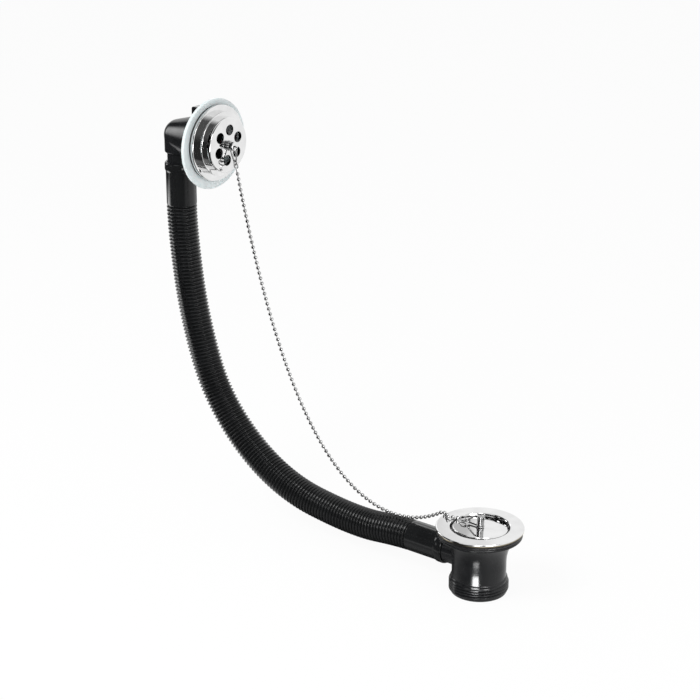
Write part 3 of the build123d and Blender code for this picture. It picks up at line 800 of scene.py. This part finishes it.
def neck_lamp(power):
    """A narrow lamp that only shows as a reflection in what it faces."""
    obj = area_lamp("neck_lamp", *NECK_LAMP, NECK_LAMP_FACES, power)
    obj.data.spread = NECK_LAMP_SPREAD
    obj.visible_glossy = True
    obj.visible_camera = False
    obj.visible_diffuse = False


def seen_by(tree, kinds):
    """One for rays of the named kinds."""
    path = tree.nodes.new("ShaderNodeLightPath")
    found = path.outputs[kinds[0]]
    for kind in kinds[1:]:
        found = math_node(tree, "MAXIMUM", found, path.outputs[kind])
    return found


def mix_shaders(tree, share, first, second, out):
    mix = tree.nodes.new("ShaderNodeMixShader")
    tree.links.new(share, mix.inputs["Fac"])
    tree.links.new(first.outputs[0], mix.inputs[1])
    tree.links.new(second.outputs[0], mix.inputs[2])
    tree.links.new(mix.outputs[0], out.inputs["Surface"])


def make_sky(strength):
    """Even light on the object, and plain white for what the camera and reflections see."""
    world = bpy.data.worlds.new("studio")
    bpy.context.scene.world = world
    world.use_nodes = True
    tree = world.node_tree
    even = tree.nodes["Background"]
    even.inputs["Strength"].default_value = strength
    even.inputs["Color"].default_value = WHITE
    white = tree.nodes.new("ShaderNodeBackground")
    white.inputs["Color"].default_value = WHITE
    mix_shaders(tree, seen_by(tree, WHITE_RAYS), even, white, tree.nodes["World Output"])


def floor_finish(base, white):
    """Matt floor that the camera and reflections see as nearly white, with the object's shadow on it."""
    finish, tree, shader = new_finish("floor")
    shader.inputs["Base Color"].default_value = (*base, 1.0)
    shader.inputs["Roughness"].default_value = FLOOR_ROUGHNESS
    shader.inputs["Specular IOR Level"].default_value = 0.0
    glow = tree.nodes.new("ShaderNodeEmission")
    share = math_node(tree, "MULTIPLY", seen_by(tree, WHITE_RAYS), white)
    mix_shaders(tree, share, shader, glow, tree.nodes["Material Output"])
    return finish


def soft_edge(tree, size, edge):
    """One inside a card, falling to nothing over its edge."""
    axes = tree.nodes.new("ShaderNodeSeparateXYZ")
    tree.links.new(place_on(tree, "Generated"), axes.inputs[0])
    insides = []
    for axis, extent in zip(("X", "Y"), size):
        off_middle = math_node(tree, "SUBTRACT", axes.outputs[axis], 0.5)
        distance = math_node(tree, "ABSOLUTE", off_middle, 0.0)
        fade = math_node(tree, "MULTIPLY", distance, -extent / edge)
        inside = tree.nodes.new("ShaderNodeClamp")
        tree.links.new(math_node(tree, "ADD", fade, extent / 2 / edge), inside.inputs["Value"])
        insides.append(inside.outputs[0])
    return math_node(tree, "MULTIPLY", *insides)


def card(name, place, target, size, glow, edge):
    """A soft-edged card that only shows in reflections, as bright as its glow."""
    surface, tree, shader = new_finish(name)
    shader.inputs["Base Color"].default_value = BLACK
    shader.inputs["Specular IOR Level"].default_value = 0.0
    shader.inputs["Emission Color"].default_value = WHITE
    shader.inputs["Emission Strength"].default_value = glow
    tree.links.new(soft_edge(tree, size, edge), shader.inputs["Alpha"])
    obj = bpy.data.objects.new(name, flat_mesh(name, *size, 0.0, surface))
    obj.location = place
    bpy.context.scene.collection.objects.link(obj)
    look_at(obj, target)
    obj.visible_camera = False
    obj.visible_diffuse = False
    obj.visible_shadow = False
    obj.visible_transmission = False


class WASTE_OT_stage(bpy.types.Operator):
    """Makes the floor, the lamps, the cards, the sky and the camera"""

    bl_idname = "bath_waste.stage"
    bl_label = "Stage"

    def execute(self, context):
        scene = context.scene
        stage = scene.waste_stage
        scene.view_settings.view_transform = "Standard"
        target = Vector(stage.target)
        finish = floor_finish(stage.floor, stage.floor_white)
        floor = bpy.data.objects.new("floor", flat_mesh("floor", FLOOR_WIDTH, FLOOR_WIDTH, FLOOR, finish))
        scene.collection.objects.link(floor)
        make_sky(stage.sky)
        area_lamp("key_lamp", *KEY_LAMP, target, stage.key_power)
        area_lamp("fill_lamp", *FILL_LAMP, target, stage.fill_power)
        neck_lamp(stage.neck_power)
        for name, settings in CARDS.items():
            card(name, *settings)
        self.camera(scene, stage, target)
        return {"FINISHED"}

    def camera(self, scene, stage, target):
        lens = bpy.data.cameras.new("camera")
        lens.sensor_width = SENSOR_WIDTH
        lens.lens = stage.focal
        camera = bpy.data.objects.new("camera", lens)
        a, e = stage.azimuth, stage.elevation
        back = Vector((math.sin(a) * math.cos(e), -math.cos(a) * math.cos(e), math.sin(e)))
        camera.location = target + back * stage.distance
        scene.collection.objects.link(camera)
        look_at(camera, target)
        scene.camera = camera


class WASTE_PT_panel(bpy.types.Panel):
    """Lists the operators and settings"""

    bl_idname = "WASTE_PT_panel"
    bl_label = "Bath waste and overflow"
    bl_space_type = "VIEW_3D"
    bl_region_type = "UI"
    bl_category = "Bath waste"

    def draw(self, context):
        for operator in OPERATORS:
            self.layout.operator(operator.bl_idname)
        for name in SETTINGS:
            box = self.layout.box()
            group = getattr(context.scene, name)
            for key in group.bl_rna.properties.keys():
                if key not in {"rna_type", "name"}:
                    box.prop(group, key)


OPERATORS = [WASTE_OT_finishes, WASTE_OT_hose, WASTE_OT_chain, WASTE_OT_outlet, WASTE_OT_stage]
SETTINGS = {
    "waste_hose": HoseSettings,
    "waste_chain": ChainSettings,
    "waste_thread": ThreadSettings,
    "waste_finish": FinishSettings,
    "waste_stage": StageSettings,
}


def register():
    for cls in (*SETTINGS.values(), *OPERATORS, WASTE_PT_panel):
        bpy.utils.register_class(cls)
    for name, group in SETTINGS.items():
        setattr(bpy.types.Scene, name, bpy.props.PointerProperty(type=group))


def unregister():
    for name in SETTINGS:
        delattr(bpy.types.Scene, name)
    for cls in reversed((*SETTINGS.values(), *OPERATORS, WASTE_PT_panel)):
        bpy.utils.unregister_class(cls)


def main():
    register()
    bpy.ops.bath_waste.finishes()
    bpy.ops.bath_waste.hose()
    bpy.ops.bath_waste.chain()
    bpy.ops.bath_waste.outlet()
    bpy.ops.bath_waste.stage()


if __name__ == "__main__":
    main()
